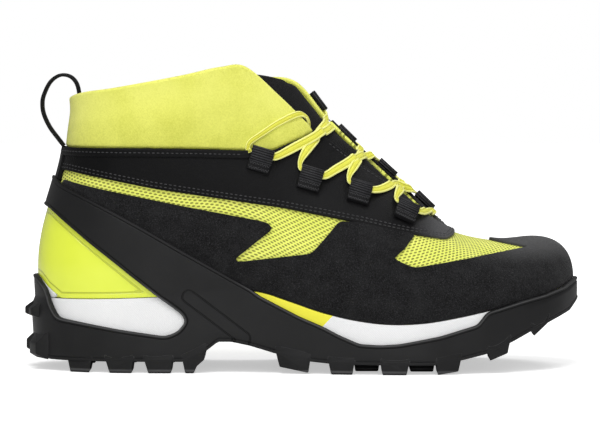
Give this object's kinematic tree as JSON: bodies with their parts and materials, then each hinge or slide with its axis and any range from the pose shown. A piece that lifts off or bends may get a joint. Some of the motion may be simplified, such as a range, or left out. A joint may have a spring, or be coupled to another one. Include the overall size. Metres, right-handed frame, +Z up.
{
  "type": "canyoneering shoe",
  "caption": "Right mid-height shoe for wet canyons: lugged rubber cup sole with side straps, foam midsole, mesh upper with overlays, stretch cuff, lacing and heel pull loop.",
  "frame": {"origin": "centre of the shoe's box in X and Y, on the plane the lugs stand on", "axes": "+X to the toe, +Y to the inner side of the foot, +Z up"},
  "size_m": [0.3, 0.1068, 0.1631],
  "materials": {
    "outsole": "matte moulded rubber",
    "midsole": "moulded foam with fine texture",
    "insole": "cloth-topped foam",
    "upper": "open mesh cloth",
    "cuff": "smooth stretch cloth",
    "rand": "nubuck synthetic",
    "heel_counter": "glossy moulded plastic",
    "eyestay": "fine-grained synthetic leather",
    "tongue": "padded cloth",
    "webbing": "ribbed webbing",
    "lace": "flat woven lace"
  },
  "bodies": {
    "root": {"outsole": "outsole", "midsole": "midsole", "insole": "insole", "upper": "upper", "cuff": "cuff", "rand": "rand", "heel_counter": "heel_counter", "eyestay": "eyestay", "tongue": "tongue", "pull_loop": "webbing", "loop_out_1": "webbing", "loop_out_2": "webbing", "loop_out_3": "webbing", "loop_out_4": "webbing", "loop_in_1": "webbing", "loop_in_2": "webbing", "loop_in_3": "webbing", "loop_in_4": "webbing", "lace_bar": "lace", "lace_cross_1": "lace", "lace_cross_2": "lace", "lace_cross_3": "lace", "lace_end_out": "lace"}
  },
  "joints": []
}
